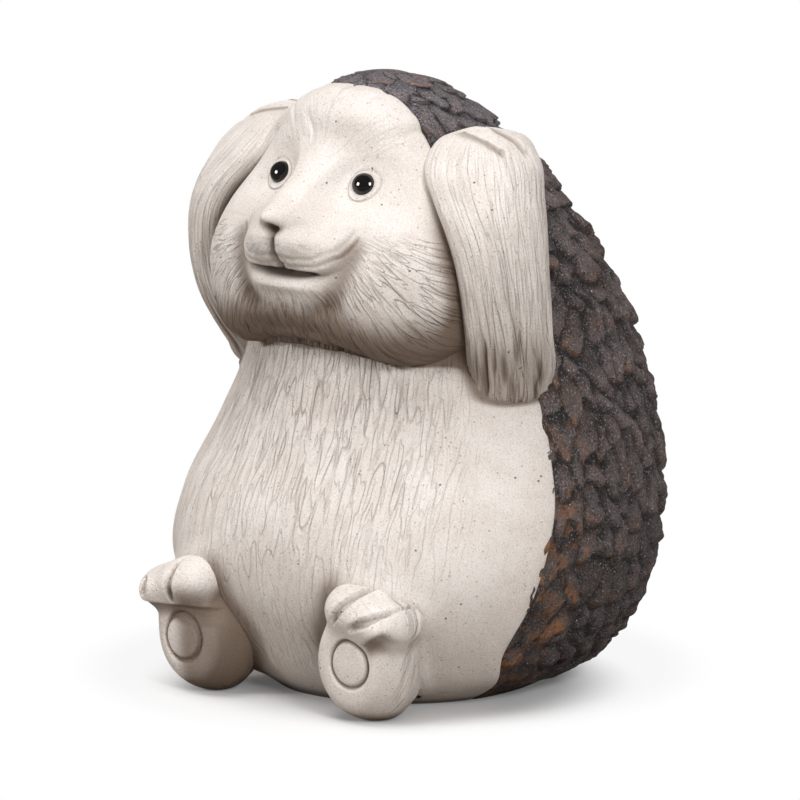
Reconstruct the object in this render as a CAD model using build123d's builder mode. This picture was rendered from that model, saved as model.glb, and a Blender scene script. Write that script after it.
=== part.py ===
"""Hedgehog figurine: a hollow seated body of two cast shells, pale in front and dark behind, with a cast head,
arms and feet set on it over dowels, bead eyes and a closing plate underneath. Millimetres. The figure faces
-Y, its own left side is +X, and the origin is on the ground under its middle."""

import os

from build123d import *

# Body shells
torso_height = 309
torso_half_width = 120
belly_reach = 114
back_reach = 127
shell_wall = 13
plate_thickness = 12
drain_diameter = 3.5
drain_height = 5
drain_inset = 63

# Courses of quills: grooves round the back, and staggered grooves between them
course_pitch = 24
course_groove = 3
course_depth = 2.5
course_margin = 12
course_columns = 9
course_crown_drop = 34

# Head
chin_drop = 133
crown_drop = 5
head_half_width = 79
head_set = 48
face_depth = 55
head_sink = 22
hollow_width = 76
hollow_girth = 56
hollow_drop = 91
eye_diameter = 12
eye_spacing = 54
eye_drop = 48
eye_sink = 1.5
eye_peg_diameter = 4
eye_peg_length = 12
lid_thickness = 4
nose_diameter = 16
snout_root = 44
snout_reach = 6
snout_drop = 58
lip_length = 44
lip_girth = 30
lip_drop = 74
chin_width = 48
chin_girth = 32
chin_pad_drop = 101
mouth_length = 44
mouth_girth = 8
mouth_drop = 87

# Arms
arm_drop = 21
arm_length = 141
arm_inset = 28
arm_set = 44
arm_breadth = 54
arm_thickness = 36
arm_turn = 20
finger_groove = 5

# Feet
foot_inset = 65
foot_girth = 62
foot_depth = 68
foot_sunk = 3
sole_stand = 3
sole_flat = 4
sole_ring_diameter = 23.4
sole_ring_height = 31
sole_ring_width = 1.6
sole_ring_depth = 2
toe_girth = 23
toe_length = 38
toe_pitch = 15
toe_level = 57
toe_fall = 5
toe_overhang = 8

# Dowels and fits
dowel_diameter = 8
dowel_length = 28
arm_dowel_drop = 111
arm_dowel_set = 38
foot_dowel_height = 24
head_dowel_drop = 94
head_dowel_spacing = 108
seam_dowel_diameter = 5
seam_dowel_length = 18
dowel_clearance = 0.15
eye_clearance = 0.15
plate_clearance = 0.3

# Directions
across = (1, 0, 0)
forward = (0, -1, 0)

# Shares that place the face's and the paw's forms
lip_side = 0.43
lip_sunk = 0.3
chin_sunk = 0.4
finger_out = 0.45
finger_pitch = 0.2
finger_reach = 0.75

# A handle of this share of the radius makes a cubic curve follow a quarter of an ellipse.
quarter_round = 0.5523

# Level rounds of the torso from the ground up: share of the height, of the half width, of the belly's reach
# and of the back's reach, where the round is widest as a share of the back's reach, and the front's fullness.
torso_rounds = [
    (0.00, 0.53, 0.67, 0.54, -0.08, 0.60),
    (0.035, 0.73, 0.77, 0.71, -0.03, 0.62),
    (0.10, 0.89, 0.88, 0.85, -0.02, 0.65),
    (0.20, 1.00, 0.99, 0.94, 0.00, 0.67),
    (0.31, 1.00, 0.98, 1.00, 0.03, 0.61),
    (0.42, 0.955, 0.86, 1.00, 0.05, 0.50),
    (0.535, 0.885, 0.76, 0.935, 0.06, 0.42),
    (0.65, 0.79, 0.67, 0.81, 0.04, 0.48),
    (0.75, 0.68, 0.58, 0.645, 0.00, quarter_round),
    (0.84, 0.55, 0.52, 0.46, -0.06, quarter_round),
    (0.915, 0.42, 0.49, 0.27, -0.14, quarter_round),
    (0.965, 0.30, 0.48, 0.10, -0.20, quarter_round),
    (0.99, 0.18, 0.43, -0.04, -0.23, quarter_round),
    (1.00, 0.08, 0.37, -0.15, -0.24, quarter_round),
]
# Level rounds of the head from the chin up: share of its height, of its half width and of the face's depth,
# and the face's fullness.
head_rounds = [
    (0.00, 0.30, 0.42, quarter_round),
    (0.03, 0.62, 0.74, quarter_round),
    (0.09, 0.85, 0.90, 0.62),
    (0.19, 0.97, 0.97, 0.66),
    (0.30, 1.00, 1.00, 0.67),
    (0.41, 0.98, 0.94, 0.66),
    (0.52, 0.91, 0.80, 0.62),
    (0.67, 0.74, 0.55, quarter_round),
    (0.84, 0.54, 0.43, quarter_round),
    (0.94, 0.40, 0.34, quarter_round),
    (0.98, 0.26, 0.24, quarter_round),
    (1.00, 0.12, 0.12, quarter_round),
]
# Level rounds of an arm from the paw down: share of its length, of the middle's distance to the side and to
# the front, of the breadth and of the thickness.
arm_rounds = [
    (0.00, 0.70, 0.58, 0.34, 0.32),
    (0.03, 0.73, 0.62, 0.70, 0.66),
    (0.09, 0.79, 0.73, 0.94, 0.93),
    (0.235, 0.91, 0.95, 1.00, 1.00),
    (0.50, 1.00, 1.00, 0.89, 0.97),
    (0.70, 0.98, 0.86, 0.85, 0.97),
    (0.87, 0.90, 0.61, 0.81, 0.98),
    (0.96, 0.86, 0.52, 0.66, 0.78),
    (1.00, 0.84, 0.48, 0.32, 0.34),
]
# The line between the pale and the dark shell, seen from the side: shares of the belly's reach and of the
# height. Dowels lock the two shells at the points that are picked out here.
seam_line = [
    (-0.18, -0.05),
    (-0.27, 0.00),
    (-0.44, 0.10),
    (-0.40, 0.20),
    (-0.28, 0.34),
    (-0.22, 0.50),
    (-0.24, 0.64),
    (-0.35, 0.80),
    (-0.48, 0.97),
    (-0.53, 1.10),
]
seam_dowel_points = [seam_line[3], seam_line[5]]

os.makedirs("parts", exist_ok=True)


def round_form(rounds):
    """A smooth symmetric form through level rounds of (height, half width, front, back, middle, fullness)."""
    with BuildPart() as form:
        for height, half_width, front, back, middle, fullness in rounds:
            with BuildSketch(Plane.XY.offset(height)):
                with BuildLine():
                    for end, handle in ((front, fullness), (back, quarter_round)):
                        handles = (half_width, middle + handle * (end - middle)), (handle * half_width, end)
                        Bezier((half_width, middle), *handles, (0, end))
                    Line((0, back), (0, front))
                make_face()
        loft()
        mirror(about=Plane.YZ)
    return form.part


def torso_form(inset):
    """The seated body, drawn in by an inset that is full at its widest round."""
    return round_form(
        [
            (
                rise * (torso_height - inset),
                breadth * (torso_half_width - inset),
                -front * (belly_reach - inset),
                back * (back_reach - inset),
                middle * back_reach,
                fullness,
            )
            for rise, breadth, front, back, middle, fullness in torso_rounds
        ]
    )


def lump(centre, axis, length, girth):
    """A rounded lump about a centre, with its length along one axis and its girth round it."""
    with BuildPart() as form:
        Sphere(1, rotation=(0, 90, 0))
        scale(by=tuple((girth + abs(share) * (length - girth)) / 2 for share in axis))
    return Pos(*centre) * form.part


def both_sides(form):
    """A form and its mirror image on the figure's other side."""
    return [form, mirror(form, about=Plane.YZ)]


def surface_hit(form, start, direction):
    """The last point where a ray meets a form's surface, with the surface's normal there."""
    ray = Axis(start, direction)
    hits = form.shell().find_intersection_points(ray)
    return max(hits, key=lambda hit: hit[0].dot(ray.direction))


def dowel_pair(middle, direction, diameter, length):
    """A pair of round pins along a direction, one on each side of the figure."""
    with BuildPart() as pin:
        with BuildSketch(Plane(middle, z_dir=direction)):
            Circle(diameter / 2)
        extrude(amount=length / 2, both=True)
    return both_sides(pin.part)


# Plain forms that the pieces are cut from
torso = torso_form(0)
cavity = torso_form(shell_wall)
chin_height = torso_height - chin_drop
head_height = chin_drop - crown_drop
head = round_form(
    [
        (
            chin_height + rise * head_height,
            breadth * head_half_width,
            -head_set - depth * face_depth,
            -head_set + breadth * head_sink,
            -head_set,
            fullness,
        )
        for rise, breadth, depth, fullness in head_rounds
    ]
)
with BuildPart() as rear_region:
    with BuildSketch(Plane.YZ):
        with BuildLine():
            seam = Spline(*[(reach * belly_reach, rise * torso_height) for reach, rise in seam_line])
            rear = 2 * back_reach
            Polyline(seam @ 1, (rear, (seam @ 1).Y), (rear, (seam @ 0).Y), seam @ 0)
        make_face()
    extrude(amount=2 * torso_half_width, both=True)

# Dowels, each pair set across the face between the two pieces that it joins
foot_side = torso_half_width - foot_inset
arm_seat = surface_hit(torso, (0, -arm_dowel_set, torso_height - arm_dowel_drop), across)[0]
foot_seat = surface_hit(torso, (foot_side, 0, foot_dowel_height), forward)[0]
head_seat = surface_hit(torso, (head_dowel_spacing / 2, 0, torso_height - head_dowel_drop), forward)[0]


def limb_dowels(seat, direction, clearance):
    return dowel_pair(seat, direction, dowel_diameter + 2 * clearance, dowel_length + 2 * clearance)


def seam_dowels(clearance):
    """Pins in the middle of the shells' wall, along the skin and across the seam."""
    pins = []
    for reach, rise in seam_dowel_points:
        start = (0, reach * belly_reach, rise * torso_height)
        outside, normal = surface_hit(torso, start, across)
        inside = surface_hit(cavity, start, across)[0]
        along = normal.cross(Vector(0, 0, 1))
        size = (seam_dowel_diameter + 2 * clearance, seam_dowel_length + 2 * clearance)
        pins += dowel_pair((outside + inside) / 2, along, *size)
    return pins


arm_holes = limb_dowels(arm_seat, across, dowel_clearance)
foot_holes = limb_dowels(foot_seat, forward, dowel_clearance)
head_holes = limb_dowels(head_seat, forward, dowel_clearance)
seam_holes = seam_dowels(dowel_clearance)

# Face forms that stand out of the head: lips, chin and a tapered snout with the nose at its tip
face_front = -head_set - face_depth
lip_middle = (lip_side * lip_length, face_front + lip_sunk * lip_girth, torso_height - lip_drop)
lip = lump(lip_middle, across, lip_length, lip_girth)
chin_middle = (0, face_front + chin_sunk * chin_girth, torso_height - chin_pad_drop)
chin_pad = lump(chin_middle, across, chin_width, chin_girth)
mouth_middle = (0, face_front - mouth_girth / 2, torso_height - mouth_drop)
mouth = lump(mouth_middle, across, mouth_length, mouth_girth)
snout_level = torso_height - snout_drop
snout_tip = face_front - snout_reach
with BuildPart() as snout:
    with BuildSketch(Plane.XY.offset(snout_level)):
        with BuildLine():
            root = (snout_root / 2, -head_set)
            cone = Polyline((0, snout_tip), (0, -head_set), root, (nose_diameter / 2, snout_tip))
            RadiusArc(cone @ 1, (0, snout_tip - nose_diameter / 2), nose_diameter / 2)
            Line((0, snout_tip - nose_diameter / 2), cone @ 0)
        make_face()
    revolve(axis=Axis((0, 0, snout_level), (0, 1, 0)))

# Eyes, each a bead on a peg that sits in a socket of the head
eye_point = surface_hit(head, (eye_spacing / 2, -head_set, torso_height - eye_drop), forward)[0]
eye_centre = eye_point + Vector(0, eye_sink, 0)


def eye_form(clearance):
    """The left bead with its peg, grown by a clearance for the socket."""
    with BuildPart() as bead:
        with Locations(eye_centre):
            Sphere(eye_diameter / 2 + clearance)
        with BuildSketch(Plane(eye_centre, z_dir=(0, 1, 0))):
            Circle(eye_peg_diameter / 2 + clearance)
        extrude(amount=eye_peg_length + clearance)
    return bead.part


lid_diameter = eye_diameter + 2 * lid_thickness
lid = lump(eye_point + Vector(0, lid_thickness, 0), forward, 3 * lid_thickness, lid_diameter)

# Head: a cast face hollowed from behind
head_hollow = lump((0, -head_set, torso_height - hollow_drop), across, hollow_width, hollow_girth)
sockets = both_sides(eye_form(eye_clearance))
head_solid = head
for form in (snout.part, *both_sides(lip), chin_pad, *both_sides(lid)):
    head_solid += form
for form in (torso, head_hollow, *head_holes, *sockets, mouth):
    head_solid -= form
with BuildPart() as head_shell:
    add(head_solid)

# Left arm: raised along the side of the head, with its paw over the ear and two grooves between its fingers
arm_top = torso_height - arm_drop
arm_out = torso_half_width - arm_inset
with BuildPart() as arm_form:
    for share, out, front, breadth, thickness in arm_rounds:
        with BuildSketch(Plane.XY.offset(arm_top - share * arm_length)):
            with Locations((out * arm_out, -front * arm_set)):
                Ellipse(thickness * arm_thickness / 2, breadth * arm_breadth / 2, rotation=-arm_turn)
    loft()
paw_share, paw_out, paw_front = arm_rounds[2][:3]
paw_middle = Vector(paw_out * arm_out, -paw_front * arm_set, arm_top - paw_share * arm_length)
finger_step = finger_pitch * arm_breadth
finger_gaps = [
    lump(
        paw_middle + Vector(finger_out * arm_thickness, side * finger_step, finger_step),
        forward,
        finger_groove,
        finger_reach * arm_breadth,
    )
    for side in (-1, 1)
]
with BuildPart() as left_arm:
    add(arm_form.part)
    add([torso, head, *finger_gaps, *arm_holes], mode=Mode.SUBTRACT)

# Left foot: an upright sole with a ring cut in it, under three curled toes
sole_reach = belly_reach + sole_stand
foot_front = -sole_reach - sole_flat
instep_middle = (foot_side, foot_front + foot_depth / 2, foot_girth / 2 - foot_sunk)
instep = lump(instep_middle, forward, foot_depth, foot_girth)
toe_middle = -sole_reach - toe_overhang + toe_length / 2
toe_step = Vector(toe_pitch, 0, -toe_fall)
toes = [
    lump(Vector(foot_side, toe_middle, toe_level) + step * toe_step, forward, toe_length, toe_girth)
    for step in (-1, 0, 1)
]
with BuildPart() as sole_ring:
    with BuildSketch(Plane((foot_side, -sole_reach, sole_ring_height), z_dir=(0, 1, 0))):
        Circle(sole_ring_diameter / 2 + sole_ring_width)
        Circle(sole_ring_diameter / 2, mode=Mode.SUBTRACT)
    extrude(amount=sole_ring_depth)
with BuildPart() as left_foot:
    add(instep)
    split(bisect_by=Plane((0, -sole_reach, 0), z_dir=(0, 1, 0)), keep=Keep.TOP)
    add(toes)
    split(bisect_by=Plane.XY, keep=Keep.TOP)
    add([torso, sole_ring.part, *foot_holes], mode=Mode.SUBTRACT)

# Pale front shell, with its drain hole low beside the left foot
drain_point, drain_facing = surface_hit(torso, (torso_half_width - drain_inset, 0, drain_height), forward)
with BuildPart() as drain:
    with BuildSketch(Plane(drain_point, z_dir=(drain_facing.X, drain_facing.Y, 0))):
        Circle(drain_diameter / 2)
    extrude(amount=2 * shell_wall, both=True)
with BuildPart() as belly_shell:
    add(torso)
    add([cavity, rear_region.part], mode=Mode.SUBTRACT)
    add([*arm_holes, *foot_holes, *head_holes, *seam_holes, drain.part], mode=Mode.SUBTRACT)

# Dark quill coat, its back cut into courses by rings and by staggered upright grooves
course_count = int((torso_height - course_crown_drop) / course_pitch)
with BuildPart() as courses:
    for course in range(course_count):
        with Locations((0, 0, (course + 1) * course_pitch)):
            Box(3 * torso_half_width, 3 * back_reach, course_groove)
        with Locations(Plane.XY.offset((course + 0.5) * course_pitch)):
            with PolarLocations(back_reach, course_columns, (course % 2) * 90 / course_columns, 180):
                Box(2 * back_reach, course_groove, course_pitch)
    add(Pos(0, course_margin, 0) * rear_region.part, mode=Mode.INTERSECT)
    add(torso_form(course_depth), mode=Mode.SUBTRACT)
with BuildPart() as quill_coat:
    add(torso)
    add(rear_region.part, mode=Mode.INTERSECT)
    add([cavity, *seam_holes, courses.part], mode=Mode.SUBTRACT)

# Closing plate, held between the two shells and notched at the drain hole
with BuildPart() as base_plate:
    add(torso_form(shell_wall + plate_clearance))
    split(bisect_by=Plane.XY.offset(plate_thickness), keep=Keep.BOTTOM)
    add(drain.part, mode=Mode.SUBTRACT)

pieces = {
    "belly_shell": belly_shell.part,
    "quill_coat": quill_coat.part,
    "head_shell": head_shell.part,
    "base_plate": base_plate.part,
    "left_arm": left_arm.part,
    "right_arm": mirror(left_arm.part, about=Plane.YZ),
    "left_foot": left_foot.part,
    "right_foot": mirror(left_foot.part, about=Plane.YZ),
    "left_eye": eye_form(0),
    "right_eye": mirror(eye_form(0), about=Plane.YZ),
    "arm_dowels": Compound(limb_dowels(arm_seat, across, 0)),
    "foot_dowels": Compound(limb_dowels(foot_seat, forward, 0)),
    "head_dowels": Compound(limb_dowels(head_seat, forward, 0)),
    "seam_dowels": Compound(seam_dowels(0)),
}
for name, piece in pieces.items():
    piece.label = name
    export_step(piece, f"parts/{name}.step")
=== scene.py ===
import math

import bpy
import numpy as np
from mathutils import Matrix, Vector


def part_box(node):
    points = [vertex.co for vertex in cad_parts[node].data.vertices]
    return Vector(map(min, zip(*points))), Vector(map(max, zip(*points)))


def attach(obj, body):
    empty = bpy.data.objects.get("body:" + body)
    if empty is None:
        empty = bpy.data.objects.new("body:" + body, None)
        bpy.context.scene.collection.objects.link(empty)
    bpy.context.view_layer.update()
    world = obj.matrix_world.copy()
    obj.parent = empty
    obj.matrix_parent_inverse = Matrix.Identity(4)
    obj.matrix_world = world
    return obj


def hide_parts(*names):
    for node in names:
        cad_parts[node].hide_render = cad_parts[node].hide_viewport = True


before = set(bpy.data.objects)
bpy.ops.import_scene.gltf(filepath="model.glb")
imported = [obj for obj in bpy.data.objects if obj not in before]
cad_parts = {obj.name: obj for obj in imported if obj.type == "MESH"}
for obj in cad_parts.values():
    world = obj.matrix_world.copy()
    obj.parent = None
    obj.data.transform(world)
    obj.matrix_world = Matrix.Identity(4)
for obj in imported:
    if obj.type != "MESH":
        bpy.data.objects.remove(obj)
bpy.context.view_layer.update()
print("frame: CAD part loaded; lengths below are millimetres")


# smooth line through the knots: cubic pieces, each knot's slope that of its neighbours
def through(knots, values, at):
    knots = np.asarray(knots, float)
    values = np.asarray(values, float)
    slope = np.gradient(values, knots)
    i = np.clip(np.searchsorted(knots, at) - 1, 0, len(knots) - 2)
    span = knots[i + 1] - knots[i]
    s = np.clip((at - knots[i]) / span, 0, 1)
    start = (1 + 2 * s) * (1 - s) ** 2 * values[i] + s * (1 - s) ** 2 * span * slope[i]
    return start + s * s * (3 - 2 * s) * values[i + 1] + s * s * (s - 1) * span * slope[i + 1]


# eased step from 0 at low to 1 at high; low may be the greater of the two
def ramp(low, high, at):
    s = np.clip((at - low) / (high - low), 0, 1)
    return s * s * (3 - 2 * s)


# bell curve: e to the minus square of the distance in widths
def bell(at, width):
    return np.exp(-(at / width) ** 2)


# a steady number from 0 to 1 for each pair of whole numbers
def chance(i, j, seed):
    v = np.sin(i * 127.1 + j * 311.7 + seed * 74.7) * 43758.5453
    return v - np.floor(v)


# value noise: chances at whole points, eased between them
def drift(x, y, seed):
    i, j = np.floor(x), np.floor(y)
    s, t = ramp(0, 1, x - i), ramp(0, 1, y - j)
    near = chance(i, j, seed) * (1 - s) + chance(i + 1, j, seed) * s
    far = chance(i, j + 1, seed) * (1 - s) + chance(i + 1, j + 1, seed) * s
    return near * (1 - t) + far * t


# carved fur, from 0 to 1: wandering lanes, whose grooves each have their own place, width, length and depth
def furStrokes(across, along, lane, length, seed):
    place = across / lane + 1.6 * drift(across / (5 * lane), along / length, seed)
    depth = np.zeros_like(place)
    for step in (-1, 0, 1):
        i = np.floor(place) + step
        middle = i + 0.5 + 0.7 * (chance(i, 0, seed) - 0.5)
        run = along / length + 7 * chance(i, 1, seed)
        j = np.floor(run)
        reach = 0.5 + 0.5 * chance(i, j, seed + 2)
        taper = ramp(0, 0.25, run - j) * (1 - ramp(reach - 0.3, reach, run - j))
        width = 0.17 + 0.17 * chance(i, j, seed + 3)
        strength = 0.3 + 0.7 * chance(i, j, seed + 4)
        depth = np.maximum(depth, strength * taper * bell(place - middle, width))
    return depth


# distance in a flat view from points (x, z) to a line of given points
def lineGap(x, z, points):
    gap = np.full(np.shape(x), 1e6)
    for (x0, z0), (x1, z1) in zip(points[:-1], points[1:]):
        dx, dz = x1 - x0, z1 - z0
        s = np.clip(((x - x0) * dx + (z - z0) * dz) / (dx * dx + dz * dz), 0, 1)
        gap = np.minimum(gap, np.hypot(x - x0 - s * dx, z - z0 - s * dz))
    return gap


# places along and across a line in the front view, from its middle
def besideLine(x, z, line):
    (x0, z0), (x1, z1) = line
    length = math.hypot(x1 - x0, z1 - z0)
    dx, dz = (x1 - x0) / length, (z1 - z0) / length
    px, pz = x - 0.5 * (x0 + x1), z - 0.5 * (z0 + z1)
    return (px * dx + pz * dz) / (0.5 * length), pz * dx - px * dz


# shader building: a socket with arithmetic, and one method that adds any node
class Wire:
    def __init__(self, paint, socket):
        self.paint = paint
        self.socket = socket

    def maths(self, operation, first, second=0.0):
        return self.paint.node("ShaderNodeMath", {"operation": operation}, {0: first, 1: second})

    def __add__(self, other):
        return self.maths("ADD", self, other)

    def __radd__(self, other):
        return self.maths("ADD", other, self)

    def __sub__(self, other):
        return self.maths("SUBTRACT", self, other)

    def __rsub__(self, other):
        return self.maths("SUBTRACT", other, self)

    def __mul__(self, other):
        return self.maths("MULTIPLY", self, other)

    def __rmul__(self, other):
        return self.maths("MULTIPLY", other, self)

    def __truediv__(self, other):
        return self.maths("DIVIDE", self, other)

    def __rtruediv__(self, other):
        return self.maths("DIVIDE", other, self)

    def __lt__(self, other):
        return self.maths("LESS_THAN", self, other)

    def __gt__(self, other):
        return self.maths("GREATER_THAN", self, other)

    def size(self):
        return self.maths("ABSOLUTE", self)

    # eased from 0 at low to 1 at high
    def ease(self, low, high):
        inputs = {"Value": self, "From Min": low, "From Max": high}
        return self.paint.node("ShaderNodeMapRange", {"interpolation_type": "SMOOTHSTEP"}, inputs)


class Paint:
    def __init__(self, name, holder=None):
        self.holder = holder or bpy.data.materials.new(name)
        self.holder.use_nodes = True
        self.tree = self.holder.node_tree
        self.tree.nodes.clear()

    def node(self, kind, settings, inputs, output=0):
        made = self.tree.nodes.new(kind)
        for key, value in settings.items():
            setattr(made, key, value)
        for key, value in inputs.items():
            if isinstance(value, Wire):
                self.tree.links.new(value.socket, made.inputs[key])
            else:
                made.inputs[key].default_value = value
        return Wire(self, made.outputs[output]) if len(made.outputs) else made

    # Object coordinates
    def where(self):
        return self.node("ShaderNodeTexCoord", {}, {}, 3)

    def apart(self, place):
        inputs = {0: self.where(), 1: place}
        return self.node("ShaderNodeVectorMath", {"operation": "DISTANCE"}, inputs, 1)

    def mark(self, name):
        return self.node("ShaderNodeAttribute", {"attribute_name": name}, {}, 2)

    # 1 for what the camera sees itself
    def seen(self):
        return self.node("ShaderNodeLightPath", {}, {})

    def noise(self, vector, scale, detail=3.0, rough=0.5):
        inputs = {"Vector": vector, "Scale": scale, "Detail": detail, "Roughness": rough}
        return self.node("ShaderNodeTexNoise", {}, inputs)

    # round dots in some cells of a cell pattern: 1 in the dot, 0 outside
    def dots(self, vector, scale, radius, share):
        inputs = {"Vector": vector, "Scale": scale}
        cells = self.node("ShaderNodeTexVoronoi", {}, inputs, 1)
        gap = Wire(self, cells.socket.node.outputs[0])
        pick = self.node("ShaderNodeSeparateColor", {}, {0: cells})
        return (1.0 - gap.ease(0.4 * radius, radius)) * (pick < share)

    # thin lines along the piece's own flow marks: where a noise stretched along the flow crosses its middle
    def strands(self, wide, long, thin):
        flow = {0: self.mark("flowAcross") / wide, 1: self.mark("flowAlong") / long, 2: wide}
        level = self.noise(self.node("ShaderNodeCombineXYZ", {}, flow), 1.0, 1.0)
        return 1.0 - (level - 0.5).size().ease(0.0, thin)

    def mix(self, share, first, second):
        return self.node("ShaderNodeMix", {"data_type": "RGBA"}, {0: share, 6: first, 7: second}, 2)

    def bump(self, height, strength, distance):
        inputs = {"Height": height, "Strength": strength, "Distance": distance}
        return self.node("ShaderNodeBump", {}, inputs)

    def close(self, shader, kind="ShaderNodeOutputMaterial"):
        self.node(kind, {}, {"Surface": shader})
        return self.holder

    def principled(self, inputs):
        return self.close(self.node("ShaderNodeBsdfPrincipled", {}, inputs))


# a colour as seen on screen, 0 to 255, to the linear value of a socket
def tint(red, green, blue):
    share = np.array([red, green, blue]) / 255
    linear = np.where(share > 0.04045, ((share + 0.055) / 1.055) ** 2.4, share / 12.92)
    return (*(float(v) for v in linear), 1.0)


# one closed piece from a grid's quads and cap faces, turned to face outwards
def addPiece(name, points, faces, caps, marks, material, node):
    points = np.asarray(points, float)
    corner = points[faces] - points.mean(0)
    first = np.einsum("ij,ij->i", corner[:, 0], np.cross(corner[:, 1], corner[:, 2]))
    second = np.einsum("ij,ij->i", corner[:, 0], np.cross(corner[:, 2], corner[:, 3]))
    turn = -1 if first.sum() + second.sum() < 0 else 1
    outward = faces[:, ::turn].tolist() + [list(cap)[::turn] for cap in caps]
    mesh = bpy.data.meshes.new(name)
    mesh.from_pydata((points * 0.001).tolist(), [], outward)
    mesh.polygons.foreach_set("use_smooth", np.ones(len(mesh.polygons), bool))
    for key, values in marks.items():
        layer = mesh.attributes.new(key, "FLOAT", "POINT")
        layer.data.foreach_set("value", np.asarray(values, np.float32).ravel())
    mesh.materials.append(material)
    mesh.update()
    piece = bpy.data.objects.new(name, mesh)
    bpy.context.scene.collection.objects.link(piece)
    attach(piece, "root")
    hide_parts(node)
    print("piece:", name, len(points), "points")


# the quads between neighbours of a table of point numbers
def quads(index):
    table = [index[:-1, :-1], index[:-1, 1:], index[1:, 1:], index[1:, :-1]]
    return np.stack(table, -1).reshape(-1, 4)


# cast stone: warm cream with sand grain, specks, pinholes and combed strands; a brown wash with painted
# shade darkens the grooves, strands and creases
stoneLook = dict(
    cream=tint(225, 216, 209), pale=tint(237, 230, 225), sand=tint(186, 170, 155), chalk=tint(252, 249, 246),
    speck=tint(140, 112, 88), pit=tint(74, 60, 50), strand=tint(120, 98, 78), carved=tint(128, 104, 82),
    # wash: the brown of the wash together with painted shade, laid on by each piece's crease mark
    washAndShade=tint(100, 78, 58), mottleScale=38.0, grainScale=1300.0, patchScale=55.0, speckScale=330.0,
    pitScale=170.0, roughness=0.88, specular=0.2, bumpDepth=0.0009,
)


def stonePaint(look):
    paint = Paint("castStone")
    where = paint.where()
    mottle = paint.noise(where, look["mottleScale"], 4.0, 0.6)
    grain = paint.noise(where, look["grainScale"], 2.0, 0.6)
    patch = paint.noise(where, look["patchScale"], 2.0).ease(0.36, 0.6)
    comb = paint.strands(4.2, 64.0, 0.03) * (patch * 0.7 + 0.3)
    fine = paint.strands(2.2, 36.0, 0.035) * (1.0 - patch * 0.5)
    lines = (comb + fine * 0.7) * paint.mark("fur")
    specks = paint.dots(where, look["speckScale"], 0.22, 0.3)
    pits = paint.dots(where, look["pitScale"], 0.12, 0.13)
    # painted shade with the brown wash, from each piece's crease mark: creases, under the chin, between
    # parts, along the floor, in hollows
    washAndShade = paint.mark("crease") * (0.8 + 0.5 * mottle)
    colour = paint.mix(mottle.ease(0.3, 0.7), look["cream"], look["pale"])
    layers = (
        (grain.ease(0.52, 0.72) * 0.55, "sand"),
        (grain.ease(0.48, 0.28) * 0.5, "chalk"),
        (specks * 0.55, "speck"),
        (pits * 0.8, "pit"),
        # darker fine strands and carved grooves: brown wash with painted shade in them
        (lines * 0.26, "strand"),
        (paint.mark("carve").ease(0.05, 1.0) * 0.3, "carved"),
        (washAndShade.ease(0.0, 1.0) * 0.88, "washAndShade"),
    )
    for share, finish in layers:
        colour = paint.mix(share, colour, look[finish])
    normal = paint.bump(grain * 0.6 - pits * 1.5 - lines * 1.7, 0.8, look["bumpDepth"])
    return paint.principled({
        "Base Color": colour, "Roughness": look["roughness"],
        "Specular IOR Level": look["specular"], "Normal": normal,
    })


# quill coat: charcoal sand, with painted shadow in the gaps, painted light on the high parts and crown,
# brown dry brushing on the tips and small sparkles
coatLook = dict(
    dark=tint(31, 25, 23), light=tint(109, 98, 96), blotch=tint(70, 52, 40), pale=tint(146, 141, 147),
    salt=tint(178, 172, 176), pepper=tint(24, 20, 20), gap=tint(18, 14, 13), rust=tint(160, 106, 62),
    sparkle=tint(226, 224, 222), mottleScale=60.0, grainScale=1000.0, blotchScale=28.0, wornScale=110.0,
    sparkleScale=400.0, roughness=0.6, specular=0.2, bumpDepth=0.0018,
)


def coatPaint(look):
    paint = Paint("quillCoat")
    where = paint.where()
    mottle = paint.noise(where, look["mottleScale"], 4.0, 0.6)
    grain = paint.noise(where, look["grainScale"], 2.0, 0.7)
    blotch = paint.noise(where, look["blotchScale"], 2.0).ease(0.5, 0.66)
    worn = paint.noise(where, look["wornScale"], 3.0, 0.7).ease(0.46, 0.58)
    streak = paint.strands(1.6, 12.0, 0.12)
    # lighter on the raised parts of the scales and darker low between them: painted light and shade
    level = paint.mark("high") * 0.6 + mottle * 0.7
    colour = paint.mix(level.ease(0.3, 0.85), look["dark"], look["light"])
    layers = (
        (blotch * 0.5, "blotch"),
        # pale: painted light, the coat lighter towards the crown
        (paint.mark("pale") * 0.4, "pale"),
        (grain.ease(0.55, 0.7) * 0.8, "salt"),
        (grain.ease(0.46, 0.32) * 0.8, "pepper"),
        # gap: painted shadow under the scale tips, and painted shade low down
        (paint.mark("gap") * 0.9, "gap"),
        (paint.mark("brush") * worn * (0.4 + 0.6 * streak), "rust"),
        (paint.dots(where, look["sparkleScale"], 0.19, 0.07), "sparkle"),
    )
    for share, finish in layers:
        colour = paint.mix(share, colour, look[finish])
    normal = paint.bump(grain + mottle * 0.6, 1.0, look["bumpDepth"])
    return paint.principled({
        "Base Color": colour, "Roughness": look["roughness"],
        "Specular IOR Level": look["specular"], "Normal": normal,
    })


# one plain finish with a little mottle
def plainPaint(name, first, second, roughness, metallic=0.0):
    paint = Paint(name)
    mottle = paint.noise(paint.where(), 90.0, 4.0, 0.6)
    colour = paint.mix(mottle.ease(0.3, 0.7), first, second)
    return paint.principled({"Base Color": colour, "Roughness": roughness, "Metallic": metallic})


stone = stonePaint(stoneLook)
coatMaterial = coatPaint(coatLook)
print("materials: stone and coat made")


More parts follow.
